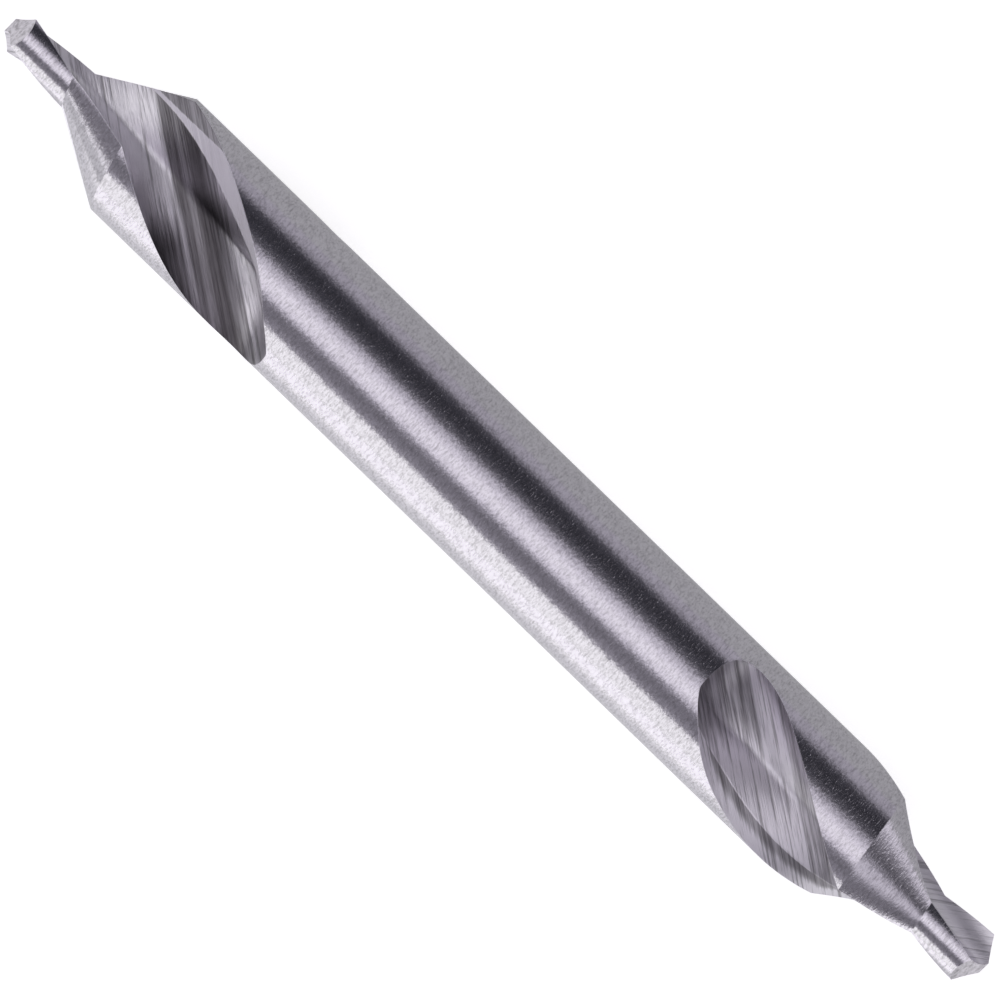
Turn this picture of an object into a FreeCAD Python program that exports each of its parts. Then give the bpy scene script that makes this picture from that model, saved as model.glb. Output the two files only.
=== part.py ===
import FreeCAD, Part
import Sketcher
import math
import os

# A double-ended centre drill, ground from one piece of hardened tool steel.
# Each end has a short pilot drill, a 60 degree countersink behind it and two
# right-hand flutes, which run back and rise out of the plain round body.
#
# The drill is modelled upright, with its near point up, at the origin, and its
# far point down, and is then laid along X with its middle at the origin.
# Each end has its own frame, with its point up, at the origin. Angles go round
# it anticlockwise as seen from above the point. Lengths are millimetres.

SIZES = (
    ("overall_length", 35.4, "from point to point"),
    ("body_diameter", 4.0, "plain round body, which the chuck grips"),
    ("pilot_diameter", 1.64, "across the two lips, 1.6 nominal"),
    ("cone_angle", 60.0, "included angle of the countersink"),
    ("pilot_relief", 0.1, "how far the middle of each pilot lies off the drill's axis"),
    ("parting_lead", 12.0, "from the pilot's corner to the plane between the two lands"),
    ("point_angle", 118.0, "included angle of the two lips"),
    ("lip_clearance", 20.0, "slope of each flank down behind its lip"),
    ("core_radius", 0.2, "half of the web between the flutes"),
    ("rake_radius", 1.325, "hollow of the cutting face"),
    ("root_radius", 0.3, "rounding at the bottom of the flute"),
    ("crease_radius", 1.38, "how far out the heel wall has its crease"),
    ("crease_angle", 104.5, "from the pilot's corner round to the crease"),
    ("heel_angle", 109.0, "from the pilot's corner round to the body's heel edge"),
    ("flute_lead", 20.4, "length of one full turn of a flute"),
    ("lift_radius", 2.6, "arc on which a flute rises out of the body"),
    ("lift_tilt", 20.0, "angle between that arc's plane and the axis"),
    ("lift_direction", 76.0, "from the pilot's corner round to where the flute rises"),
    ("lift_turn", 6.6, "degrees that a flute turns back for each millimetre of rise"),
    ("near_pilot", 2.15, "from the near point to the foot of its cone, at the cutting edge"),
    ("near_relief", 0.25, "how far the middle of each near cone lies off the drill's axis"),
    ("near_clock", 51.0, "where the pilot's corner would be, level with the near point"),
    ("near_flute", 8.5, "from the near point to where its flutes start to rise"),
    ("far_pilot", 2.06, "from the far point to the foot of its cone, at the cutting edge"),
    ("far_relief", 0.17, "how far the middle of each far cone lies off the drill's axis"),
    ("far_clock", 91.6, "where the pilot's corner would be, level with the far point"),
    ("far_flute", 8.15, "from the far point to where its flutes start to rise"),
)

# How far the cutting shapes stand clear of the steel.
CLEAR = 0.5
# How closely a flute is followed: steps along its even twist, then along its rise.
TWIST_STEPS = 8
RISE_STEPS = 6
# Where the body's round surface closes on itself: a line that crosses no flute right over.
CLOSING_ANGLE = 65

size = {alias: value for alias, value, meaning in SIZES}
doc = FreeCAD.newDocument("centre_drill")
sheet = doc.addObject("Spreadsheet::Sheet", "Sizes")
for row, (alias, value, meaning) in enumerate(SIZES, start=1):
    sheet.set(f"A{row}", alias)
    sheet.set(f"B{row}", str(value))
    sheet.set(f"C{row}", meaning)
    sheet.setAlias(f"B{row}", alias)
doc.recompute()

# Formulas that several pieces share.
BODY_R = "(Sizes.body_diameter / 2)"
PILOT_R = "(Sizes.pilot_diameter / 2)"
CONE_SLOPE = "tan(Sizes.cone_angle / 2)"
TWIST = "(360 / Sizes.flute_lead)"
FRAMES = {
    "near": "placement(vector(0; 0; 0); rotation(vector(1; 0; 0); 0))",
    "far": "placement(vector(0; 0; -Sizes.overall_length); rotation(vector(1; 0; 0); 180))",
}


def bind(item, **formulas):
    """Tie the properties of a piece to formulas of the named sizes."""
    for name, formula in formulas.items():
        item.setExpression(name, formula)


def place(end, x="0", y="0", z="0", turn="0"):
    """Formula of a place in an end's frame: turned about the axis, then moved."""
    return f"{FRAMES[end]} * placement(vector({x}; {y}; {z}); rotation(vector(0; 0; 1); {turn}))"


def origin_feature(body, role):
    return next(item for item in body.Origin.OriginFeatures if item.Role == role)


def cone_base(end):
    """Depth at which both cones of an end have passed the body's surface all round."""
    climb = f"({BODY_R} - {PILOT_R} + 2 * Sizes.{end}_relief)"
    return f"(Sizes.{end}_pilot + {climb} / {CONE_SLOPE})"


def land(end, turn):
    """Pilot and cone of one of an end's two lands, each half a round.

    The middle of each round lies a little off the drill's axis, so the land
    falls away behind its cutting edge. The lands part on a plane that stays
    inside the flutes.
    """
    parting = f"(Sizes.{end}_clock + Sizes.parting_lead + {turn})"
    # From the cutting edge at the foot of the cone round to the parting plane.
    edge = f"(Sizes.parting_lead + {TWIST} * Sizes.{end}_pilot)"
    foot = f"({PILOT_R} - Sizes.{end}_relief * cos({edge}))"
    rim = f"({BODY_R} + Sizes.{end}_relief + {CLEAR})"
    fall = f"(({rim} - {foot}) / {CONE_SLOPE})"

    pilot = doc.addObject("Part::Cylinder", f"{end}_pilot_land_{turn}")
    cone = doc.addObject("Part::Cone", f"{end}_cone_land_{turn}")
    bind(
        pilot,
        Radius=f"{PILOT_R} - Sizes.pilot_relief * cos({edge} / 2)",
        Height=f"{cone_base(end)} + {CLEAR}",
    )
    bind(cone, Radius1=rim, Radius2=foot, Height=fall)
    for item, offset, bottom in (
        (pilot, "Sizes.pilot_relief", cone_base(end)),
        (cone, f"Sizes.{end}_relief", f"(Sizes.{end}_pilot + {fall})"),
    ):
        item.Angle = 180
        bind(
            item,
            Placement=place(
                end,
                x=f"{offset} * cos({parting})",
                y=f"{offset} * sin({parting})",
                z=f"-{bottom}",
                turn=f"{parting} - 180",
            ),
        )
    return [pilot, cone]


def ground_blank():
    """The drill before fluting: both noses and the stock between them, ground to the body."""
    stock = doc.addObject("Part::Cylinder", "stock")
    near_base, far_base = cone_base("near"), cone_base("far")
    bind(
        stock,
        Radius=f"{BODY_R} + {CLEAR}",
        Height=f"Sizes.overall_length - {near_base} - {far_base}",
        Placement=place("far", z=f"-(Sizes.overall_length - {near_base})"),
    )
    shape = doc.addObject("Part::MultiFuse", "noses_and_stock")
    shape.Shapes = [stock] + [
        piece for end in FRAMES for turn in (0, 180) for piece in land(end, turn)
    ]
    outside = doc.addObject("Part::Cylinder", "round_body")
    bind(
        outside,
        Radius=BODY_R,
        Height=f"Sizes.overall_length + 2 * {CLEAR}",
        Placement=place(
            "near", z=f"-(Sizes.overall_length + {CLEAR})", turn=str(CLOSING_ANGLE)
        ),
    )
    blank = doc.addObject("Part::Common", "ground_blank")
    blank.Base = shape
    blank.Tool = outside
    return blank


def polar(radius, degrees):
    angle = math.radians(degrees)
    return FreeCAD.Vector(radius * math.cos(angle), radius * math.sin(angle), 0)


def flute_section(body, end, step, depth, turn, rise):
    """Cross section of a flute, seen from the point, with the pilot's corner at angle zero.

    The cutting face is a hollow arc that passes the pilot's corner and just clears
    the core. A small arc at the root leads into the heel wall, which is straight
    up to its crease and then leans out to the heel edge. An arc outside the body
    closes the outline.
    """
    sketch = body.newObject("Sketcher::SketchObject", f"{end}_section_{step}")
    sketch.AttachmentSupport = [(origin_feature(body, "XY_Plane"), "")]
    sketch.MapMode = "FlatFace"
    away = f"({turn} + Sizes.lift_direction)"
    bind(
        sketch,
        AttachmentOffset=place(
            end,
            x=f"{rise} * cos({away})",
            y=f"{rise} * sin({away})",
            z=f"-({depth})",
            turn=turn,
        ),
    )

    # Each line and arc starts near its place, and the constraints then settle it.
    rake_r, root_r, core_r = size["rake_radius"], size["root_radius"], size["core_radius"]
    body_r, pilot_r = size["body_diameter"] / 2, size["pilot_diameter"] / 2
    spoke_angle, wall_angle = 60, 197
    origin, up = FreeCAD.Vector(0, 0, 0), FreeCAD.Vector(0, 0, 1)
    rake_middle = polar(rake_r + core_r, spoke_angle)
    root_middle = polar(core_r + root_r, spoke_angle)
    crease_place = polar(size["crease_radius"], size["crease_angle"])
    heel_place = polar(body_r, size["heel_angle"])
    outer_place = heel_place + (heel_place - crease_place)

    def arc(middle, radius, start_angle, end_angle):
        round_edge = Part.Circle(middle, up, radius)
        ends = math.radians(start_angle), math.radians(end_angle)
        return sketch.addGeometry(Part.ArcOfCircle(round_edge, *ends), False)

    def line(start_place, end_place, construction=False):
        return sketch.addGeometry(Part.LineSegment(start_place, end_place), construction)

    rake = arc(rake_middle, rake_r, spoke_angle + 180, 360)
    root = arc(root_middle, root_r, wall_angle, spoke_angle + 180)
    wall = line(root_middle + polar(root_r, wall_angle), crease_place)
    lip = line(crease_place, outer_place)
    closing = arc(origin, body_r + CLEAR, spoke_angle / 2, size["heel_angle"])
    spoke = line(origin, rake_middle, construction=True)
    crease = line(origin, crease_place, construction=True)
    heel = line(origin, heel_place, construction=True)
    corner = sketch.addGeometry(Part.Point(FreeCAD.Vector(pilot_r, 0, 0)), True)

    start, finish, middle, axes = 1, 2, 3, -1

    def fix(kind, *where):
        return sketch.addConstraint(Sketcher.Constraint(kind, *where))

    def measure(kind, *where, value, formula):
        bind(sketch, **{f"Constraints[{fix(kind, *where, value)}]": formula})

    for radial in (spoke, crease, heel):
        fix("Coincident", radial, start, axes, start)
    fix("Coincident", spoke, finish, rake, middle)
    fix("PointOnObject", corner, start, axes)
    fix("PointOnObject", corner, start, rake)
    fix("PointOnObject", rake, start, spoke)
    fix("PointOnObject", root, middle, spoke)
    fix("Coincident", root, finish, rake, start)
    fix("Tangent", root, start, wall, start)
    fix("Coincident", wall, finish, crease, finish)
    fix("Coincident", lip, start, wall, finish)
    fix("PointOnObject", heel, finish, lip)
    fix("Coincident", closing, middle, axes, start)
    fix("Coincident", closing, start, rake, finish)
    fix("Coincident", closing, finish, lip, finish)
    measure("Distance", spoke, value=rake_r + core_r, formula="Sizes.rake_radius + Sizes.core_radius")
    measure("Radius", rake, value=rake_r, formula="Sizes.rake_radius")
    measure("Radius", root, value=root_r, formula="Sizes.root_radius")
    measure("Radius", closing, value=body_r + CLEAR, formula=f"{BODY_R} + {CLEAR}")
    measure("DistanceX", axes, start, corner, start, value=pilot_r, formula=PILOT_R)
    for radial, radius, radius_formula, name in (
        (crease, size["crease_radius"], "Sizes.crease_radius", "crease_angle"),
        (heel, body_r, BODY_R, "heel_angle"),
    ):
        angle = math.radians(size[name])
        measure("Distance", radial, value=radius, formula=radius_formula)
        measure("Angle", axes, start, radial, start, value=angle, formula=f"Sizes.{name} * 1 deg")
    return sketch


def repeat_opposite(body, feature):
    """The same cut once more, half a turn round the drill's axis."""
    pattern = body.newObject("PartDesign::PolarPattern", f"{feature.Name}_pair")
    pattern.Originals = [feature]
    pattern.Axis = (origin_feature(body, "Z_Axis"), [""])
    pattern.Angle = 360
    pattern.Occurrences = 2
    body.Tip = pattern


def cut_flutes(body, end):
    """Two opposite flutes, whose section twists evenly and then swings up out of the body."""
    swing_end = f"acos(1 - ({BODY_R} - Sizes.core_radius + {CLEAR}) / Sizes.lift_radius)"
    sections = []
    for step in range(TWIST_STEPS + RISE_STEPS + 1):
        along = min(step / TWIST_STEPS, 1)
        swing = f"({swing_end} * {max(step - TWIST_STEPS, 0) / RISE_STEPS})"
        depth = (
            f"((Sizes.{end}_flute + {CLEAR}) * {along} - {CLEAR}"
            f" + Sizes.lift_radius * cos(Sizes.lift_tilt) * sin({swing}))"
        )
        rise = f"(Sizes.lift_radius * (1 - cos({swing})))"
        turn = f"(Sizes.{end}_clock - {TWIST} * {depth} + Sizes.lift_turn * {rise})"
        sections.append(flute_section(body, end, step, depth, turn, rise))
    flute = body.newObject("PartDesign::SubtractiveLoft", f"{end}_flute")
    flute.Profile = sections[0]
    flute.Sections = sections[1:]
    repeat_opposite(body, flute)


def cut_flanks(body, end):
    """Two flat flanks, each falling away from the point along its lip and down behind it."""
    lip_lead = f"(asin(Sizes.core_radius / {PILOT_R}) / 1 deg)"
    lip_fall = "tan(90 - Sizes.point_angle / 2)"
    back_fall = "tan(Sizes.lip_clearance)"
    corner_depth = f"({PILOT_R} * cos({lip_lead}) * {lip_fall} - Sizes.core_radius * {back_fall})"
    lip = f"(Sizes.{end}_clock - {TWIST} * {corner_depth} - {lip_lead})"
    downhill = f"({lip} - atan({back_fall} / {lip_fall}) / 1 deg)"
    steepness = f"atan(sqrt({lip_fall} ^ 2 + {back_fall} ^ 2))"
    spin = f"(rotation(vector(0; 0; 1); {downhill}) * rotation(vector(0; 1; 0); {steepness}))"
    reach = f"(Sizes.pilot_diameter + {CLEAR})"

    flank = body.newObject("PartDesign::SubtractiveBox", f"{end}_flank")
    flank.AttachmentSupport = [(origin_feature(body, "XY_Plane"), "")]
    flank.MapMode = "FlatFace"
    bind(
        flank,
        Length=f"2 * {reach}",
        Width=f"2 * {reach}",
        Height=reach,
        AttachmentOffset=f"{FRAMES[end]} * placement({spin} * vector(-{reach}; -{reach}; 0); {spin})",
    )
    repeat_opposite(body, flank)


drill = doc.addObject("PartDesign::Body", "centre_drill")
drill.Label = "centre_drill"
drill.BaseFeature = ground_blank()
for end in FRAMES:
    cut_flutes(drill, end)
    cut_flanks(drill, end)
bind(
    drill,
    Placement="placement(vector(-Sizes.overall_length / 2; 0; 0); rotation(vector(0; 1; 0); -90))",
)
doc.recompute()

for item in doc.Objects:
    if "Invalid" in item.State or "Error" in item.State:
        raise RuntimeError(f"{item.Name} failed: {item.State}")
if drill.Shape.isNull() or not drill.Shape.isValid() or len(drill.Shape.Solids) != 1:
    raise RuntimeError("the drill is not one sound solid")

os.makedirs("parts", exist_ok=True)
drill.Shape.exportStep(f"parts/{drill.Label}.step")
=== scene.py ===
import math

import bpy
import numpy as np
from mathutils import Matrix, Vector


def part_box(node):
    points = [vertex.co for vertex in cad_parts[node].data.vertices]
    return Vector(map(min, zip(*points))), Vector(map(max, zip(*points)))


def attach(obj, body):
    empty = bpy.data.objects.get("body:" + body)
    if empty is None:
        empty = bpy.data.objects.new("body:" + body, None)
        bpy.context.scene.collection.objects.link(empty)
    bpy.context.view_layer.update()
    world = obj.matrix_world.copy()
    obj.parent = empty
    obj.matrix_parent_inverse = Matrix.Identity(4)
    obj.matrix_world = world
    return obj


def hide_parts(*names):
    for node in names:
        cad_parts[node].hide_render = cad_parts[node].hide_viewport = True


# A double-ended centre drill, ground from one piece of tool steel, on a pale floor.
# The shape is worked out in millimetres and made in metres. Each end has its own frame:
# t is the depth from its point, angles go round its axis in degrees, and q is a place on
# the outline of a flute.

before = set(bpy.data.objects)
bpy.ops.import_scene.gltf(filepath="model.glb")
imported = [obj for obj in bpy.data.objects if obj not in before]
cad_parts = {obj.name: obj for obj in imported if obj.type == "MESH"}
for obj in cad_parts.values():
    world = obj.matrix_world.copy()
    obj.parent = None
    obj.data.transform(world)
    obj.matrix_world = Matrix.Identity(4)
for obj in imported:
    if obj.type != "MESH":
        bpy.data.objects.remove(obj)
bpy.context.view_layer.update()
MM = 0.001
FULL_TURN = 2 * math.pi
NODE = "centre_drill"
low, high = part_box(NODE)
HALF_LENGTH = (high.x - low.x) / 2 / MM
BODY_R = (high.z - low.z) / 2 / MM

# Pilot, cone and point. The two lands part this far past their end's clock angle.
PILOT_R = 0.82
PILOT_RELIEF = 0.1
PARTING_LEAD = 12.0
CONE_ANGLE, POINT_ANGLE, LIP_CLEARANCE = 60, 118, 20
CONE_SLOPE = math.tan(math.radians(CONE_ANGLE / 2))
LIP_FALL = math.tan(math.radians(90 - POINT_ANGLE / 2))
BACK_FALL = math.tan(math.radians(LIP_CLEARANCE))

# A flute's section. Its hollow face and its lip are carried on outside the body.
CORE_R = 0.2
RAKE_R, RAKE_OUTER_ANGLE = 1.325, 40.0
ROOT_R = 0.3
CREASE_R, CREASE_ANGLE = 1.38, 104.5
HEEL_ANGLE = 109.0
LIP_OVERRUN = 1.6

# A flute's path. Where it runs out it lifts along an arc, towards one direction of its own
# section, and turns by so many degrees to a millimetre of lift.
FLUTE_LEAD = 20.4
TWIST = 360 / FLUTE_LEAD
LIFT_R, LIFT_TILT = 2.6, 20
LIFT_REACH = LIFT_R * math.cos(math.radians(LIFT_TILT))
LIFT_DIRECTION = 76.0
LIFT_TURN = 6.6

# Each end, the near one first: the angle of the pilot's corner level with the point, how far
# the middle of each cone lies off the axis, the depth of the cone's foot and of the start
# of the flutes' lift, its side of the drill's middle, and where its marks start on the pattern.
ENDS = (
    {"clock": 51.0, "relief": 0.25, "pilot": 2.15, "flute": 8.5, "side": -1, "marks": 0.0},
    {"clock": 91.6, "relief": 0.17, "pilot": 2.06, "flute": 8.15, "side": 1, "marks": 7.0},
)

# Grid lines along each stretch of the shape.
LAND_COLUMNS = 56
FLUTE_COLUMNS = (24, 5, 10, 16, 9)
PILOT_ROWS, CONE_ROWS, FLUTE_ROWS, BODY_ROWS = 20, 28, 64, 48
RUN_OUT_CROWDING = 1.7

# How finely the solvers look, and the depths between which they look: for the start of a
# column on the flanks, and for the cone's foot and base.
HALVINGS = 32
SEARCH_PLACES, LENGTH_PLACES = 41, 2001
SETTLING_STEPS = 3
FARTHEST_START = 1.0
NEAREST_FOOT, FARTHEST_FOOT, FARTHEST_BASE = 1.2, 3.5, 7.0

# Places on an outline nearer than this are one place, and so are points in metres.
CLOSED, SEAM_GAP = 1e-9, 1e-8
# What a corner tells the material: its kind of surface, and how far it is from an edge.
LAND_KIND, FLUTE_KIND, LIP_KIND, FLANK_KIND = 0.0, 1.0, 1.4, 2.0
NO_RIM = 1.0
# The flute wheel's straight marks lie at this angle to the axis.
MARK_ANGLE = math.radians(35)


def polar(radius, degrees):
    """Point at a distance from the axis, at an angle."""
    angle = np.radians(degrees)
    return np.stack([radius * np.cos(angle), radius * np.sin(angle)], -1)


def bisect(inside, low_end, high_end):
    """Root of a rising function between two arrays of bounds, by halving the gap."""
    for _ in range(HALVINGS):
        middle = (low_end + high_end) / 2
        below = inside(middle) < 0
        low_end = np.where(below, middle, low_end)
        high_end = np.where(below, high_end, middle)
    return (low_end + high_end) / 2


def rake_middle():
    """Middle of the hollow face's arc, which passes the pilot's corner and just clears the core."""
    reach = RAKE_R + CORE_R
    x = (reach**2 - RAKE_R**2 + PILOT_R**2) / (2 * PILOT_R)
    return np.array([x, math.sqrt(reach**2 - x**2)])


def wall_angle():
    """Angle on the root's arc at which the straight wall to the crease leaves it."""
    to_crease = CREASE - ROOT_MIDDLE
    lean = math.acos(ROOT_R / np.linalg.norm(to_crease))
    return math.degrees(math.atan2(to_crease[1], to_crease[0]) + lean)


# A flute's outline: the places where its four stretches end, the middles of its two arcs,
# and the ends of its straight wall and of its lip.
RAKE_END, ROOT_END, WALL_END, OUTLINE_END = 1, 2, 3, 4
RAKE_MIDDLE = rake_middle()
SPOKE_ANGLE = math.degrees(math.atan2(RAKE_MIDDLE[1], RAKE_MIDDLE[0]))
ROOT_MIDDLE = polar(CORE_R + ROOT_R, SPOKE_ANGLE)
CREASE = polar(CREASE_R, CREASE_ANGLE)
WALL_ANGLE = wall_angle()
WALL_FOOT = ROOT_MIDDLE + polar(ROOT_R, WALL_ANGLE)
OUTSIDE = CREASE + LIP_OVERRUN * (polar(BODY_R, HEEL_ANGLE) - CREASE)


def flute_outline(q):
    """Point of a flute's outline in its own frame, for q from 0 to 4.

    Up to 1 it runs in along the hollow face's arc, up to 2 round the root's arc, up to 3
    along the straight wall to the crease, and up to 4 out along the leaning lip.
    """
    shares = [np.clip(q - start, 0, 1) for start in (0, RAKE_END, ROOT_END, WALL_END)]
    on_rake, on_root = shares[:2]
    on_wall, on_lip = (share[..., None] for share in shares[2:])
    meeting = SPOKE_ANGLE - 180
    rake = RAKE_MIDDLE + polar(RAKE_R, RAKE_OUTER_ANGLE + (meeting - RAKE_OUTER_ANGLE) * on_rake)
    root = ROOT_MIDDLE + polar(ROOT_R, meeting + (WALL_ANGLE - 180 - SPOKE_ANGLE) * on_root)
    wall = WALL_FOOT + (CREASE - WALL_FOOT) * on_wall
    lip = CREASE + (OUTSIDE - CREASE) * on_lip
    q = q[..., None]
    return np.where(q < RAKE_END, rake, np.where(q < ROOT_END, root, np.where(q < WALL_END, wall, lip)))


def flute_lift(end, t):
    """How far a flute has swung out of the body: an arc that starts at the end's flute depth."""
    swing = np.arcsin(np.clip((t - end["flute"]) / LIFT_REACH, 0, 1))
    return LIFT_R * (1 - np.cos(swing))


def flute_turn(end, t):
    """Angle of a flute at depth t, by the twist and what the lift adds to it."""
    return end["clock"] - TWIST * t + LIFT_TURN * flute_lift(end, t)


def flute_point(end, q, t):
    """Point of a flute at depth t: its outline turned by the twist and moved out by the lift."""
    turn = flute_turn(end, t)
    x, y = np.moveaxis(flute_outline(q), -1, 0)
    cos, sin = np.cos(np.radians(turn)), np.sin(np.radians(turn))
    moved = np.stack([cos * x - sin * y, sin * x + cos * y], -1)
    return moved + polar(flute_lift(end, t), turn + LIFT_DIRECTION)


def ground_round(radius, relief, parting, angle):
    """Distance from the axis to a round whose middle lies off it, towards the parting plane."""
    off = np.radians(angle - parting)
    return relief * np.cos(off) + np.sqrt(np.maximum(radius**2 - (relief * np.sin(off)) ** 2, 0))


def land_rounds(end, angle, t):
    """Radius of the pilot and of the cone at an angle and depth, each land by its own middle."""
    first = end["clock"] + PARTING_LEAD
    parting = np.where((angle - first) % 360 > 180, first, first + 180)
    edge = math.radians(PARTING_LEAD + TWIST * end["pilot"])
    pilot_radius = PILOT_R - PILOT_RELIEF * math.cos(edge / 2)
    cone_radius = PILOT_R - end["relief"] * math.cos(edge) + (t - end["pilot"]) * CONE_SLOPE
    pilot = ground_round(pilot_radius, PILOT_RELIEF, parting, angle)
    cone = ground_round(np.maximum(cone_radius, 0), end["relief"], parting, angle)
    return pilot, cone


def outer_radius(end, angle, t):
    """Radius of the steel before fluting: the larger of pilot and cone, up to the body."""
    pilot, cone = land_rounds(end, angle, t)
    return np.minimum(np.maximum(pilot, cone), BODY_R)


def angle_of(points):
    """Angle of points round the axis."""
    return np.degrees(np.arctan2(points[..., 1], points[..., 0]))


def proud(end, q, t):
    """How far a point of the flute's outline lies outside the steel."""
    point = flute_point(end, q, t)
    return np.linalg.norm(point, axis=-1) - outer_radius(end, angle_of(point), t)


def deepest(end, t):
    """Where on a flute's outline it lies deepest in the steel, and how deep.

    The best of many places is bettered by cutting the stretch round it in thirds.
    """
    places = np.linspace(0, OUTLINE_END, SEARCH_PLACES)
    gap = places[1]
    best = places[np.argmin(proud(end, places, t[..., None]), -1)]
    before, after = best - gap, best + gap
    for _ in range(HALVINGS):
        third = (after - before) / 3
        left = proud(end, before + third, t) < proud(end, after - third, t)
        before, after = np.where(left, before, before + third), np.where(left, after - third, after)
    best = (before + after) / 2
    return best, proud(end, best, t)


def flute_edges(end, t):
    """Places on a flute's outline of its rake edge and its heel edge, at each depth."""
    middle, _ = deepest(end, t)
    rake = bisect(lambda q: -proud(end, q, t), 0 * t, middle)
    heel = bisect(lambda q: proud(end, q, t), middle, 0 * t + OUTLINE_END)
    return rake, heel


def flute_end(end):
    """Depth at which a flute has left the steel."""
    t = np.array(end["flute"])
    return float(bisect(lambda d: deepest(end, d)[1], t, t + LIFT_REACH))


def edge_angles(end, t):
    """Angles of a flute's rake edge and heel edge, unbroken as the flute twists."""
    turn = flute_turn(end, t)
    found = []
    for q in flute_edges(end, t):
        angle = angle_of(flute_point(end, q, t))
        found.append(turn + (angle - turn + 90) % 360 - 90)
    return found


def tip_depth(end, points):
    """Depth of the two flat flanks at points across the axis: each falls away on its own side."""
    corner_lag = math.degrees(math.asin(CORE_R / PILOT_R))
    corner_depth = PILOT_R * math.cos(math.radians(corner_lag)) * LIP_FALL - CORE_R * BACK_FALL
    lip = end["clock"] - TWIST * corner_depth - corner_lag
    slope = LIP_FALL * polar(1, lip) + BACK_FALL * polar(1, lip - 90)
    return points @ slope


def spread(stops, column):
    """Value at a column, evenly spaced between the stops of each stretch of columns."""
    starts = np.cumsum((0,) + FLUTE_COLUMNS)
    index = np.clip(np.searchsorted(starts, column, side="right") - 1, 0, len(FLUTE_COLUMNS) - 1)
    share = (column - starts[index]) / np.take(FLUTE_COLUMNS, index)
    low_stop = np.take_along_axis(stops, index[None], 0)[0]
    high_stop = np.take_along_axis(stops, index[None] + 1, 0)[0]
    return low_stop + (high_stop - low_stop) * share


def flute_place(rake, heel, ridge, column):
    """Place on a flute's outline of a column between its edges, with grid lines on its corners.

    From the rake edge the columns pass the ridge between the flanks, both ends of the
    root and the crease, and stop at the heel edge. Corners outside the steel close up.
    """
    corners = [np.clip(corner, rake, heel) for corner in (ridge, RAKE_END, ROOT_END, WALL_END)]
    return spread(np.stack([rake, *corners, heel]), column)


def land_angle(end, column, t):
    """Angle of a land's column at a depth, evenly spaced from one flute's heel to the next rake."""
    rake, heel = edge_angles(end, t)
    return heel + (rake + 180 - heel) * column / LAND_COLUMNS


def on_land(end, angle, t):
    """Point of a land at an angle and depth."""
    return outer_radius(end, angle, t)[..., None] * polar(1, angle)


def ridge_place(end):
    """Where the ridge between the two flanks leaves the point through the hollow face."""
    level = np.array(0.0)
    rake, _ = flute_edges(end, level)
    sign = np.sign(tip_depth(end, flute_point(end, rake, level)))

    def past_ridge(q):
        return -sign * tip_depth(end, flute_point(end, q, level))

    return float(bisect(past_ridge, rake, level + RAKE_END))


def start_depth(end, point_at, column):
    """Depth at which a column meets the flank of the point."""
    zero = 0.0 * column
    return bisect(lambda t: t - np.abs(tip_depth(end, point_at(t))), zero, zero + FARTHEST_START)


def rows_between(start, foot, base, last):
    """Depths of every row of each column, evenly spaced between start, foot, base and last.

    The rows of the last stretch crowd towards its end, where the flute runs out round.
    """
    pilot_share, cone_share, flute_share = (
        np.linspace(0, 1, count + 1)[:, None] for count in (PILOT_ROWS, CONE_ROWS, FLUTE_ROWS)
    )
    flute_share = 1 - (1 - flute_share) ** RUN_OUT_CROWDING
    return np.concatenate(
        [
            start + (foot - start) * pilot_share[:-1],
            foot + (base - foot) * cone_share[:-1],
            base + (last - base) * flute_share,
        ]
    )


def land_grid(end, last):
    """A land from the point to the flutes' end, with rows kept on the foot and base of its cone."""
    column = np.arange(LAND_COLUMNS + 1.0)
    zero = 0 * column

    def rounds(t):
        return land_rounds(end, land_angle(end, column, t), t)

    start = start_depth(end, lambda t: on_land(end, land_angle(end, column, t), t), column)
    foot = bisect(lambda t: np.diff(rounds(t), axis=0)[0], zero + NEAREST_FOOT, zero + FARTHEST_FOOT)
    base = bisect(lambda t: rounds(t)[1] - BODY_R, foot, zero + FARTHEST_BASE)
    t = rows_between(start, foot, base, zero + last)
    angle = land_angle(end, column, t)
    points = on_land(end, angle, t)
    points[-1, -1] = -points[-1, 0]
    return points, angle, t


def flute_grid(end, land, land_t):
    """A flute from the point to its end, with its outer columns on the lands beside it.

    Each row runs between the depths that the same row has on the two lands. In the pilot
    the rows stretch a little, so that the first of them lies on the flanks.
    """
    ridge = ridge_place(end)
    column = np.arange(sum(FLUTE_COLUMNS) + 1.0)
    rake_t, heel_t = land_t[:, -1:], land_t[:, :1]

    def edges_and_place(t):
        rake, heel = flute_edges(end, t)
        return rake, heel, flute_place(rake, heel, ridge, column + 0 * t)

    start = start_depth(end, lambda t: flute_point(end, edges_and_place(t)[-1], t), column)
    fade = np.clip(1 - np.arange(len(land_t)) / PILOT_ROWS, 0, 1)[:, None]
    t = (rake_t + heel_t) / 2 + 0 * column
    for _ in range(SETTLING_STEPS):
        rake, heel, place = edges_and_place(t)
        share = (place - rake) / np.maximum(heel - rake, CLOSED)
        t = rake_t + (heel_t - rake_t) * share
        t = t + (start - t[0]) * fade
    rake, heel, place = edges_and_place(t)
    points = flute_point(end, place, t)
    at_rake, at_heel = (place - rake < CLOSED)[..., None], (heel - place < CLOSED)[..., None]
    points = np.where(at_rake, -land[:, -1:], np.where(at_heel, land[:, :1], points))
    points[:, 0], points[:, -1], points[-1] = -land[:, -1], land[:, 0], land[-1, 0]
    return points, place, t


def outline_length(q):
    """Distance along a flute's outline from its outer end, at each place on it."""
    places = np.linspace(0, OUTLINE_END, LENGTH_PLACES)
    steps = np.linalg.norm(np.diff(flute_outline(places), axis=0), axis=-1)
    return np.interp(q, places, np.concatenate([[0], np.cumsum(steps)]))


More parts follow.
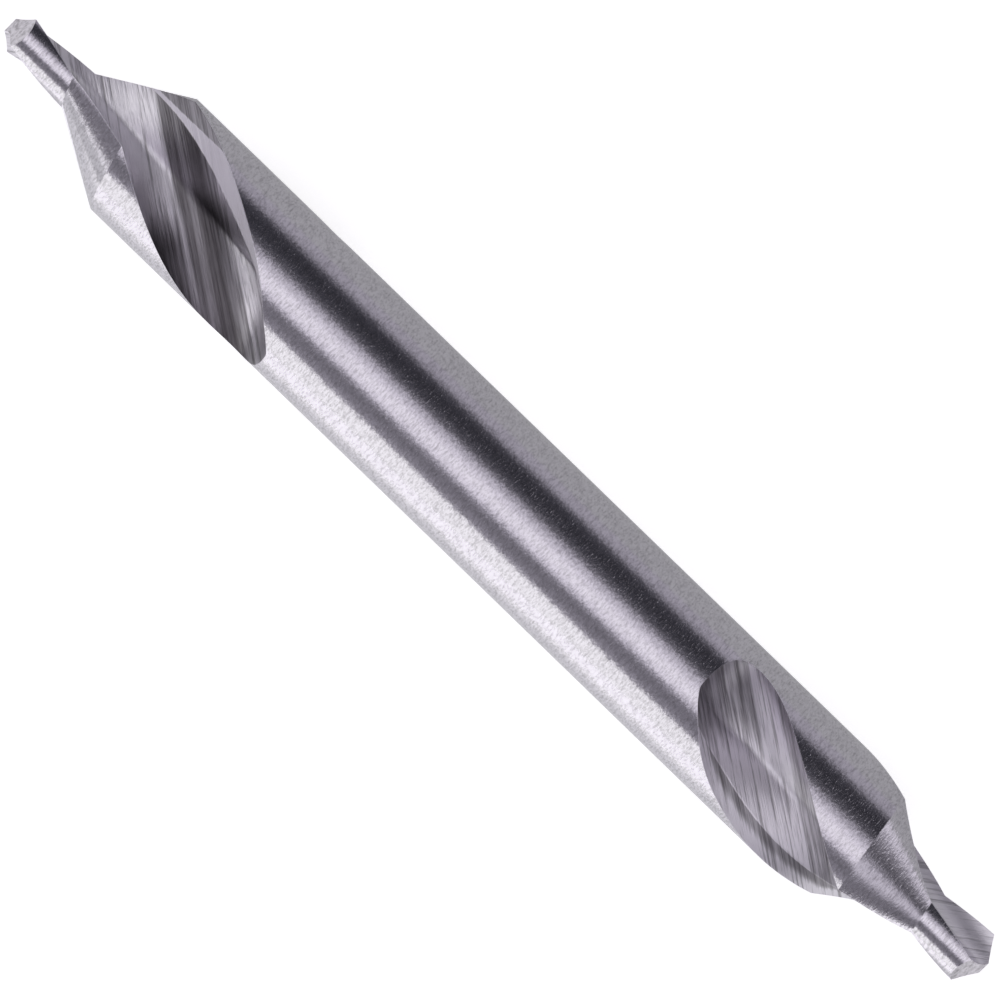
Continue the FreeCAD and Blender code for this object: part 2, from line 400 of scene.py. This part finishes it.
def wheel_marks(end, points, t):
    """Places across and along the flute wheel's straight marks, which slant over the axis."""
    across = points[..., 1] * math.cos(MARK_ANGLE) + t * math.sin(MARK_ANGLE)
    along = t * math.cos(MARK_ANGLE) - points[..., 1] * math.sin(MARK_ANGLE)
    return across + end["marks"], along


def in_drill(end, points, t, turned):
    """From an end's frame, turned half round or not, to the drill's frame in metres."""
    side, half_turn = end["side"], -1 if turned else 1
    x, y = np.moveaxis(points * half_turn, -1, 0)
    return np.stack(np.broadcast_arrays(side * (HALF_LENGTH - t), -side * y, x), -1) * MM


def body_normals(corners):
    """Normals straight out from the axis for triangles on the round body, and zero for the rest."""
    radial = corners * (0, 1, 1)
    reach = np.linalg.norm(radial, axis=1)
    on_body = (np.abs(reach - BODY_R * MM) < SEAM_GAP).reshape(-1, 3).all(1)
    return np.where(np.repeat(on_body, 3)[:, None], radial / np.maximum(reach, SEAM_GAP)[:, None], 0.0)


class Skin:
    """Grids of a surface, sewn where they meet, with what each corner tells the material."""

    def __init__(self):
        self.points, self.faces, self.facts = [], [], []
        self.sharp, self.caps, self.count = [], [], 0

    def add(self, points, facts):
        """Take in points, each with two places on the pattern, a kind of surface and a rim distance."""
        number = self.count + np.arange(points[..., 0].size).reshape(points.shape[:-1])
        self.points.append(points.reshape(-1, 3))
        self.facts.append(np.stack(np.broadcast_arrays(*facts), -1).reshape(-1, len(facts)))
        self.count += number.size
        return number

    def grid(self, points, facts, sharp_rows=(), sharp_columns=()):
        """A grid as triangles, whose rows run round the drill and whose columns run along it."""
        number = self.add(points, facts)
        a, b, c, d = number[:-1, :-1], number[1:, :-1], number[1:, 1:], number[:-1, 1:]
        self.faces += [np.stack(half, -1).reshape(-1, 3) for half in ((a, b, c), (a, c, d))]
        for row in sharp_rows:
            self.crease(number[row])
        for column in sharp_columns:
            self.crease(number[:, column])

    def crease(self, line):
        """Keep the edges along a line of points sharp."""
        self.sharp.append(np.stack([line[:-1], line[1:]], -1))

    def cap(self, points, facts):
        """One flat face with many corners."""
        line = self.add(points, facts)
        self.caps.append(line)
        self.crease(np.append(line, line[0]))

    def make(self, name):
        """The surface as one closed mesh: points in one place become one, and faces without area go."""
        points = np.concatenate(self.points)
        keys = np.round(points / SEAM_GAP).astype(np.int64)
        _, first, same = np.unique(keys, axis=0, return_index=True, return_inverse=True)
        same = same.reshape(-1)
        faces = np.concatenate(self.faces)
        sewn = same[faces]
        open_faces = (sewn != np.roll(sewn, 1, 1)).all(1)
        caps = [line[same[line] != np.roll(same[line], 1)] for line in self.caps]
        outlines = sewn[open_faces].tolist() + [same[line].tolist() for line in caps]
        mesh = bpy.data.meshes.new(name)
        mesh.from_pydata(points[first], [], outlines)
        mesh.polygons.foreach_set("use_smooth", np.ones(len(outlines), bool))

        corners = faces[open_faces].reshape(-1)
        self.write_facts(mesh, np.concatenate([corners, *caps]))
        self.mark_sharp(mesh, same)
        normals = np.zeros((len(mesh.loops), 3))
        normals[: len(corners)] = body_normals(points[corners])
        mesh.normals_split_custom_set(normals)
        mesh.update()
        return mesh

    def write_facts(self, mesh, corners):
        """What each corner tells the material, as a UV map and two attributes."""
        facts = np.concatenate(self.facts)[corners].astype(np.float32)
        layer = mesh.uv_layers.new(name="pattern")
        layer.uv.foreach_set("vector", facts[:, :2].ravel())
        for index, fact in ((2, "kind"), (3, "rim")):
            attribute = mesh.attributes.new(fact, "FLOAT", "CORNER")
            attribute.data.foreach_set("value", np.ascontiguousarray(facts[:, index]))

    def mark_sharp(self, mesh, same):
        """Mark the creases' edges, each known by the numbers of its two sewn points."""
        edges = np.zeros(2 * len(mesh.edges), np.int32)
        mesh.edges.foreach_get("vertices", edges)
        key = [len(mesh.vertices), 1]
        sharp = np.sort(same[np.concatenate(self.sharp)], 1) @ key
        is_sharp = np.isin(np.sort(edges.reshape(-1, 2), 1) @ key, sharp)
        mark = mesh.attributes.new("sharp_edge", "BOOLEAN", "EDGE")
        mark.data.foreach_set("value", is_sharp)


def end_skin(skin, end):
    """Two flutes, two lands and two flanks of one end. Returns the lands' last rows."""
    last = flute_end(end)
    land, angle, land_t = land_grid(end, last)
    flute, place, flute_t = flute_grid(end, land, land_t)
    arc = np.radians(angle) * np.linalg.norm(land, axis=-1)
    length = outline_length(place)
    land_rim = np.minimum(arc - arc[:, :1], arc[:, -1:] - arc)
    flute_rim = np.minimum(length - length[:, :1], length[:, -1:] - length)
    flute_rim = flute_rim + NO_RIM * (1 - (place[:, -1:] > place[:, :1]))
    flute_kind = np.where(place > WALL_END + CLOSED, LIP_KIND, FLUTE_KIND)
    land_facts = (arc, land_t, LAND_KIND, land_rim)
    flute_facts = (*wheel_marks(end, flute, flute_t), flute_kind, flute_rim)
    sharp_rows = (0, PILOT_ROWS, PILOT_ROWS + CONE_ROWS)
    crease = sum(FLUTE_COLUMNS[:-1])
    last_rows, rings = [], []
    for turned in (False, True):
        land_points = in_drill(end, land, land_t, turned)
        skin.grid(land_points, land_facts, sharp_rows, (0, -1))
        flute_points = in_drill(end, flute, flute_t, turned)
        skin.grid(flute_points, flute_facts, (0,), (crease,))
        last_rows.append(land_points[-1])
        rings.append((flute_points[0], land_points[0]))
    ridge = FLUTE_COLUMNS[0]
    for (flute_ring, land_ring), (next_flute_ring, _) in (rings, rings[::-1]):
        outline = np.concatenate([flute_ring[ridge:], land_ring[1:], next_flute_ring[1 : ridge + 1]])
        flat = outline[:, 1:] / MM
        skin.cap(outline, (flat[:, 0], flat[:, 1], FLANK_KIND, NO_RIM))
    return last_rows


def drill_skin():
    """The whole drill: both ends, and the plain round body between the rows where their flutes end."""
    skin = Skin()
    near_rows, far_rows = [end_skin(skin, end) for end in ENDS]
    far_rows = [row[::-1] for row in far_rows]
    along = np.linspace(0, 1, BODY_ROWS + 1)[:, None]
    for row in near_rows:
        start = np.unwrap(np.arctan2(row[:, 1], row[:, 2]))
        gaps = [np.abs(row[0, 1:] - far[0, 1:]).sum() for far in far_rows]
        far = far_rows[int(np.argmin(gaps))]
        finish = np.unwrap(np.arctan2(far[:, 1], far[:, 2]))
        finish = finish + FULL_TURN * np.round((start[0] - finish[0]) / FULL_TURN)
        angle = start + (finish - start) * along
        x = row[0, 0] + (far[0, 0] - row[0, 0]) * along + 0 * angle
        points = np.stack([x, BODY_R * MM * np.sin(angle), BODY_R * MM * np.cos(angle)], -1)
        points[0], points[-1] = row, far
        skin.grid(points, (angle * BODY_R, x / MM, LAND_KIND, NO_RIM))
    return skin.make("drill")


class Wire:
    """A socket of a node tree. Sums, products and the like of sockets add their Math nodes."""

    def __init__(self, tree, socket):
        self.tree, self.socket = tree, socket

    def math(self, operation, *values):
        return self.tree.add("ShaderNodeMath", {"operation": operation}, dict(enumerate(values)))

    def __add__(self, other):
        return self.math("ADD", self, other)

    def __sub__(self, other):
        return self.math("SUBTRACT", self, other)

    def __rsub__(self, other):
        return self.math("SUBTRACT", other, self)

    def __mul__(self, other):
        return self.math("MULTIPLY", self, other)

    def __truediv__(self, other):
        return self.math("DIVIDE", self, other)

    def __rtruediv__(self, other):
        return self.math("DIVIDE", other, self)

    __radd__, __rmul__ = __add__, __mul__

    def within(self, low_end, high_end, low_value=0.0, high_value=1.0):
        """Smooth step from one value to another between two bounds."""
        settings = {"interpolation_type": "SMOOTHSTEP"}
        sockets = {0: self, 1: low_end, 2: high_end, 3: low_value, 4: high_value}
        return self.tree.add("ShaderNodeMapRange", settings, sockets)


class Tree:
    """The nodes of a material or of the world."""

    def __init__(self, owner):
        owner.use_nodes = True
        self.tree = owner.node_tree
        self.tree.nodes.clear()

    def add(self, kind, settings=None, sockets=None, output=0):
        """A node with its settings, then the values or links of its sockets.

        Returns one of its outputs, by name or number, or a list of them for a tuple.
        """
        node = self.tree.nodes.new(kind)
        for name, value in (settings or {}).items():
            if name == "stops":
                self.set_stops(node.color_ramp.elements, value)
            else:
                setattr(node, name, value)
        for key, value in (sockets or {}).items():
            if isinstance(value, Wire):
                self.tree.links.new(value.socket, node.inputs[key])
            else:
                node.inputs[key].default_value = value
        if isinstance(output, tuple):
            return [Wire(self, node.outputs[key]) for key in output]
        return Wire(self, node.outputs[output]) if node.outputs else None

    @staticmethod
    def set_stops(elements, stops):
        """Places and colours of a colour ramp. A lone level is a grey."""
        while len(elements) < len(stops):
            elements.new(1.0)
        for element, (position, level) in zip(elements, stops):
            element.position = position
            element.color = (*level, 1.0) if isinstance(level, tuple) else (level, level, level, 1.0)

    def mix(self, factor, first, second):
        """Blend of two colours."""
        settings = {"data_type": "RGBA", "clamp_factor": True}
        return self.add("ShaderNodeMix", settings, {0: factor, 6: first, 7: second}, output=2)

    def noise(self, vector, repeats, detail, roughness):
        """Noise with so many repeats along each axis of a vector, for every unit of it."""
        sockets = {
            "Vector": self.stretch(vector, repeats),
            "Scale": 1.0,
            "Detail": detail,
            "Roughness": roughness,
        }
        return self.add("ShaderNodeTexNoise", None, sockets)

    def stretch(self, vector, factors):
        """A vector with each of its axes multiplied."""
        return self.add("ShaderNodeVectorMath", {"operation": "MULTIPLY"}, {0: vector, 1: factors})


STEEL = (0.87, 0.84, 0.90, 1.0)
DEEP_STEEL = (0.075, 0.068, 0.072, 1.0)
WHITE = (1.0, 1.0, 1.0, 1.0)

# Noises of the finish: their repeats in a millimetre, detail and roughness. The first two
# lie along, across and up through the drill, and the others across and along the marks.
ROUND_LINES = ((16.0, 2.6, 2.6), 3.0, 0.6)
GRIT = ((19.0, 8.0, 8.0), 2.0, 0.6)
FLUTE_LINES = ((9.5, 0.30, 1.0), 4.0, 0.72)
FLUTE_BANDS = ((2.6, 0.10, 1.0), 3.0, 0.5)

# How high each noise stands in the bump, and what a height of one measures.
ROUND_HEIGHT, GRIT_HEIGHT, FLUTE_HEIGHT = 0.8, 1.9, 9.0
BUMP_HEIGHT = 0.003 * MM

# Steps of the finish and of the painted light and shade: the bounds between which each one
# runs, and its values at them where they aren't 0 and 1. First by kind of surface, then by the height of
# a noise.
FLUTE_STEP, LIP_STEP, FLANK_STEP = (0.3, 0.7), (1.1, 1.3), (1.6, 1.9)
GRIT_SPECKLE, LINE_SPECKLE = (0.40, 0.70, 0.0, 0.26), (0.4, 0.8, 0.0, 0.24)
STREAKS, BROAD_STREAKS = (0.35, 0.62), (0.25, 0.60, 0.6, 1.0)
# Then by millimetres: across the marks to the far end's flutes, off the axis to the painted
# shade on the near lips' corner, and in from the far lips' rim, for their painted light and shade, and
# from every rim.
FAR_END = (6.9, 7.0)
NEAR_LIP_PAINTED_SHADE = (1.44, 1.50, 0.0, 0.72)
FAR_LIP_PAINTED_LIGHT = (0.2, 0.45, 0.85, 0.28)
BLUNT_RIM = (0.0, 0.04, 0.2, 0.0)
# Last, the painted shade that comes on along each end's marks, and the part across them.
NEAR_PAINTED_SHADE = ((4.8, 6.6), (3.25, 3.45, 0.88, 0.0))
FAR_PAINTED_SHADE = ((6.0, 7.8), (11.45, 11.65, 0.0, 0.62))

# Painted reflections and shade on each flute, as bands by the place across its marks, from 0
# for the darkest painted shade to 1 for bright steel: one end's up to 7, and then the other's.
WHEEL_REACH = 14.0
PAINTED_FLUTE_BANDS = (
    (1.0, 0.85), (2.2, 1.0), (3.25, 1.0), (3.44, 0.18), (3.6, 0.10), (3.78, 0.25), (3.95, 0.06),
    (4.25, 0.07), (4.5, 0.34), (4.75, 0.70), (5.0, 1.0), (7.0, 1.0), (8.2, 1.0), (10.5, 0.42),
    (10.95, 0.46), (11.04, 1.0), (11.22, 1.0), (11.38, 0.90), (11.6, 0.80), (12.0, 0.95), (12.3, 1.0),
)
BAND_SWAY = 0.03
# The streaks' floor and gain, and a painted highlight on the near lips.
STREAK_FLOOR, STREAK_GAIN, NEAR_LIP_PAINTED_LIGHT = 0.50, 1.4, 0.35
# A painted shade that darkens the flanks' colour.
FLANK_PAINTED_SHADE = 0.35

# Roughness of the lands, what the grit changes in it, and what each surface adds.
LAND_ROUGHNESS, GRIT_ROUGHNESS = 0.14, 0.06
FLUTE_ROUGHNESS, FLANK_ROUGHNESS, NEAR_LIP_ROUGHNESS = 0.22, 0.2, 0.28


def painted_flute_tone(tree, marks, rim, near_lip, far_lip, lines, bands):
    """Painted reflections and shade of a flute: bands across the wheel's marks, a shade along them and
    fine streaks.
    """
    across, along = marks
    # Bands of painted reflection and shade across the marks.
    stops = [(mark / WHEEL_REACH, tone) for mark, tone in PAINTED_FLUTE_BANDS]
    place = across / WHEEL_REACH + (bands - 0.5) * BAND_SWAY
    tone = tree.add("ShaderNodeValToRGB", {"stops": stops}, {0: place})
    # Painted shade along each end's marks, over part of the way across them.
    for part_along, part_across in (NEAR_PAINTED_SHADE, FAR_PAINTED_SHADE):
        tone = tone * (1 - along.within(*part_along) * across.within(*part_across))
    # The lips take painted light and shade in place of the bands: a painted shade on the near lips'
    # corner, and far lips brighter at the rim and darker within.
    off_axis = across * math.cos(MARK_ANGLE) - along * math.sin(MARK_ANGLE)
    near_lip_shaded = 1 - off_axis.within(*NEAR_LIP_PAINTED_SHADE)
    lip_painted_light = near_lip_shaded * near_lip + rim.within(*FAR_LIP_PAINTED_LIGHT) * far_lip
    tone = tone * (1 - near_lip - far_lip) + lip_painted_light
    streaks = lines.within(*STREAKS) * bands.within(*BROAD_STREAKS)
    return tone * (STREAK_FLOOR + streaks * STREAK_GAIN + near_lip * NEAR_LIP_PAINTED_LIGHT)


def ground_steel():
    """Bright tool steel, ground round the body and along the flutes.

    Lines of the wheel run round the lands, and straight and slanting across the flutes.
    They are ridges in the bump and small changes of colour and roughness. The colour also holds painted
    reflections and shade on the flutes, and a painted shade on the flanks.
    """
    material = bpy.data.materials.new("ground_steel")
    tree = Tree(material)
    place = tree.stretch(tree.add("ShaderNodeTexCoord", output="Object"), (1 / MM,) * 3)
    pattern = tree.add("ShaderNodeUVMap", {"uv_map": "pattern"})
    across, along = tree.add("ShaderNodeSeparateXYZ", None, {0: pattern}, output=(0, 1))
    kind = tree.add("ShaderNodeAttribute", {"attribute_name": "kind"}, output="Fac")
    rim = tree.add("ShaderNodeAttribute", {"attribute_name": "rim"}, output="Fac")
    on_flank = kind.within(*FLANK_STEP)
    in_flute = kind.within(*FLUTE_STEP) - on_flank
    on_lip = kind.within(*LIP_STEP) - on_flank
    far_lip = on_lip * across.within(*FAR_END)
    near_lip = on_lip - far_lip

    round_lines = tree.noise(place, *ROUND_LINES)
    grit = tree.noise(place, *GRIT)
    flute_lines = tree.noise(pattern, *FLUTE_LINES)
    flute_bands = tree.noise(pattern, *FLUTE_BANDS)
    land_height = round_lines * ROUND_HEIGHT + grit * GRIT_HEIGHT
    height = land_height * (1 - in_flute) + flute_lines * in_flute * FLUTE_HEIGHT
    bump = {"Strength": 1.0, "Distance": BUMP_HEIGHT, "Height": height}

    # The flutes' colour: painted reflections and shade, with fine streaks.
    painted_flute_light = painted_flute_tone(tree, (across, along), rim, near_lip, far_lip, flute_lines, flute_bands)
    speckle = grit.within(*GRIT_SPECKLE) + round_lines.within(*LINE_SPECKLE)
    # The lands' colour with its speckle, and a painted shade on the flanks.
    bright_land = 1 - speckle - on_flank * FLANK_PAINTED_SHADE
    tone = painted_flute_light * in_flute + bright_land * (1 - in_flute)
    rough = LAND_ROUGHNESS + (grit - 0.5) * GRIT_ROUGHNESS + in_flute * FLUTE_ROUGHNESS
    rough = rough + on_flank * FLANK_ROUGHNESS + near_lip * NEAR_LIP_ROUGHNESS + rim.within(*BLUNT_RIM)
    sockets = {
        "Base Color": tree.mix(tone, DEEP_STEEL, STEEL),
        "Metallic": 1.0,
        "Roughness": rough,
        "Normal": tree.add("ShaderNodeBump", None, bump),
    }
    shader = tree.add("ShaderNodeBsdfPrincipled", None, sockets)
    tree.add("ShaderNodeOutputMaterial", None, {"Surface": shader})
    return material


# Brightness round the drill, as one angle and level after another, by the angle from
# straight overhead towards +Y in degrees. The third row is the light beside the drill: a
# soft box overhead, a black flag and a grey wall on the +Y side, and on the -Y side a grey
# gap and a white card. The rows before and after it are the plainer light past the near
# end and past the far end.
STUDIO = (
    (-180, 0.50, -115, 0.50, -100, 0.33, -88, 0.20, -40, 0.19, -30, 0.34, -20, 0.52, -10, 0.90, 10, 0.90,
     30, 0.40, 50, 0.15, 70, 0.20, 95, 0.36, 180, 0.40),
    (-180, 0.70, -115, 0.62, -100, 0.68, -88, 0.92, -60, 0.88, -45, 0.88, -30, 0.93, -10, 0.97, 10, 1.00,
     22, 0.90, 35, 0.50, 45, 0.25, 60, 0.15, 72, 0.22, 95, 0.36, 180, 0.40),
    (-180, 0.96, -66, 1.00, -61.6, 1.00, -60.2, 0.40, -57, 0.29, -53, 0.235, -46, 0.19, -37, 0.155,
     -31, 0.20, -27.5, 0.33, -24, 0.52, -21, 0.72, -15, 0.82, -6, 0.85, 0, 0.79, 6, 0.60, 12, 0.49,
     15, 0.38, 18, 0.27, 21, 0.14, 24, 0.09, 27, 0.065, 31, 0.045, 37, 0.032, 43, 0.026, 53, 0.032,
     59, 0.05, 63, 0.09, 66.5, 0.20, 70, 0.27, 77, 0.345, 180, 0.40),
    (-180, 0.20, -100, 0.25, -60, 0.20, -45, 0.28, -30, 0.42, -20, 0.68, 0, 0.86, 20, 0.84, 75, 0.76,
     100, 0.50, 130, 0.32, 180, 0.25),
    (-180, 0.18, -62, 0.16, -55, 0.16, -46, 0.21, -35, 0.42, -24, 0.56, -12, 0.55, 0, 0.47, 12, 0.24,
     24, 0.10, 35, 0.09, 45, 0.12, 56, 0.16, 66, 0.21, 77, 0.30, 100, 0.36, 180, 0.30),
)
# Each row gives way to the next between two shares of a direction that lie along the axis.
STUDIO_REACH = ((-0.76, -0.66), (-0.33, -0.18), (0.15, 0.28), (0.74, 0.82))
# Red and blue shares of the light's green, at some levels between which they change evenly.
TINT_LEVELS = (0.0, 0.1, 0.8, 0.95)
RED_SHARES, BLUE_SHARES = (1.00, 1.04, 1.035, 1.0), (1.28, 1.14, 1.08, 1.0)


def tinted(level):
    """A level of the studio's light: whites are neutral, greys a little lilac and blacks bluer."""
    red, blue = (float(np.interp(level, TINT_LEVELS, shares)) for shares in (RED_SHARES, BLUE_SHARES))
    return (level * red, level, level * blue)


def studio_world():
    """Soft studio light as long bands beside the drill, which change past its ends."""
    world = bpy.data.worlds.new("studio")
    bpy.context.scene.world = world
    tree = Tree(world)
    direction = tree.add("ShaderNodeTexCoord", output="Generated")
    x, y, z = tree.add("ShaderNodeSeparateXYZ", None, {0: direction}, output=(0, 1, 2))
    turn = y.math("ARCTAN2", y, z) / FULL_TURN + 0.5
    colour = None
    for index, bands in enumerate(STUDIO):
        stops = [((angle + 180) / 360, tinted(level)) for angle, level in zip(bands[::2], bands[1::2])]
        ramp = tree.add("ShaderNodeValToRGB", {"stops": stops}, {0: turn})
        colour = tree.mix(x.within(*STUDIO_REACH[index - 1]), colour, ramp) if index else ramp
    light = tree.add("ShaderNodeBackground", None, {"Color": colour})
    tree.add("ShaderNodeOutputWorld", None, {"Surface": light})


def sheet(name, x_span, y_span, z):
    """A flat rectangle at a height, in metres."""
    x, y = np.meshgrid(x_span, y_span)
    corners = np.stack([x, y, 0 * x + z], -1).reshape(-1, 3)
    mesh = bpy.data.meshes.new(name)
    mesh.from_pydata(corners, [], [(0, 1, 3, 2)])
    item = bpy.data.objects.new(name, mesh)
    bpy.context.scene.collection.objects.link(item)
    return item


FLOOR_SPAN = (-1.5, 1.5)
FLOOR_COLOUR = (0.82, 0.82, 0.82, 1.0)
FLOOR_GLOW = 0.64


def pale_floor():
    """A pale floor under the drill. Its own white is added for what looks at it, so shadows stay."""
    floor = sheet("floor", FLOOR_SPAN, FLOOR_SPAN, low.z)
    material = bpy.data.materials.new("pale_floor")
    tree = Tree(material)
    matte = tree.add("ShaderNodeBsdfDiffuse", None, {"Color": FLOOR_COLOUR})
    rays = ("Is Camera Ray", "Is Glossy Ray", "Is Transmission Ray")
    by_camera, by_mirror, by_glass = tree.add("ShaderNodeLightPath", output=rays)
    seen = by_camera + by_mirror + by_glass
    own = tree.add("ShaderNodeEmission", None, {"Strength": seen * FLOOR_GLOW})
    both = tree.add("ShaderNodeAddShader", None, {0: matte, 1: own})
    tree.add("ShaderNodeOutputMaterial", None, {"Surface": both})
    floor.data.materials.append(material)


# Cards on the floor, each a step above the one before: how far it reaches along and
# across in millimetres, its level, and the places across between which white turns to it.
CARDS = {
    "grey_card": ((-1500, 1500), (2.0, 1500), 0.37, (-2, -1)),
    # A painted shadow of the drill on the floor beside it, fading to white away from it.
    "painted_shadow_card": ((-500, 500), (-9.0, -2.0), 0.65, (-9.0, -3.4)),
    "near_card": ((-60, -18.2), (-60, -2.0), 0.55, (-70, -61)),
}
CARD_STEP = 0.01 * MM
CARD_BLUE = 1.03


def floor_cards():
    """Grey cards on the floor, there only for what mirrors them. One is a painted shadow of the drill."""
    for step, (name, (x_span, y_span, level, fade)) in enumerate(CARDS.items(), 1):
        x_span, y_span, fade = (tuple(edge * MM for edge in span) for span in (x_span, y_span, fade))
        card = sheet(name, x_span, y_span, low.z + step * CARD_STEP)
        material = bpy.data.materials.new(name)
        tree = Tree(material)
        place = tree.add("ShaderNodeTexCoord", output="Object")
        away = tree.add("ShaderNodeSeparateXYZ", None, {0: place}, output=1)
        grey = (level, level, level * CARD_BLUE, 1.0)
        light = tree.add("ShaderNodeEmission", None, {"Color": tree.mix(away.within(*fade), WHITE, grey)})
        tree.add("ShaderNodeOutputMaterial", None, {"Surface": light})
        card.data.materials.append(material)
        card.visible_camera = False
        card.visible_diffuse = False
        card.visible_shadow = False


# The photograph's camera: the width it shows, how the drill lies in its frame, and
# where the frame's middle falls on the plane of the drill's axis.
FRAME_WIDTH = 26.11 * MM
ROLL = math.radians(44.1)
FRAME_MIDDLE = (0.12 * MM, -0.014 * MM)
CAMERA_DISTANCE = 0.5
CLIP_RATIO = 10


def overhead_camera():
    """A long lens straight above the drill, rolled so that it lies from corner to corner."""
    data = bpy.data.cameras.new("camera")
    data.lens = data.sensor_width * CAMERA_DISTANCE / FRAME_WIDTH
    data.clip_start, data.clip_end = CAMERA_DISTANCE / CLIP_RATIO, CAMERA_DISTANCE * CLIP_RATIO
    camera = bpy.data.objects.new("camera", data)
    camera.location = (*FRAME_MIDDLE, CAMERA_DISTANCE)
    camera.rotation_euler = (0, 0, ROLL)
    bpy.context.scene.collection.objects.link(camera)
    bpy.context.scene.camera = camera


def dressed_drill():
    """The drill with its steel, riding the root body in place of the plain solid."""
    drill = bpy.data.objects.new("drill", drill_skin())
    bpy.context.scene.collection.objects.link(drill)
    drill.data.materials.append(ground_steel())
    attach(drill, "root")
    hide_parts(NODE)


bpy.context.scene.view_settings.view_transform = "Standard"
overhead_camera()
dressed_drill()
studio_world()
pale_floor()
floor_cards()
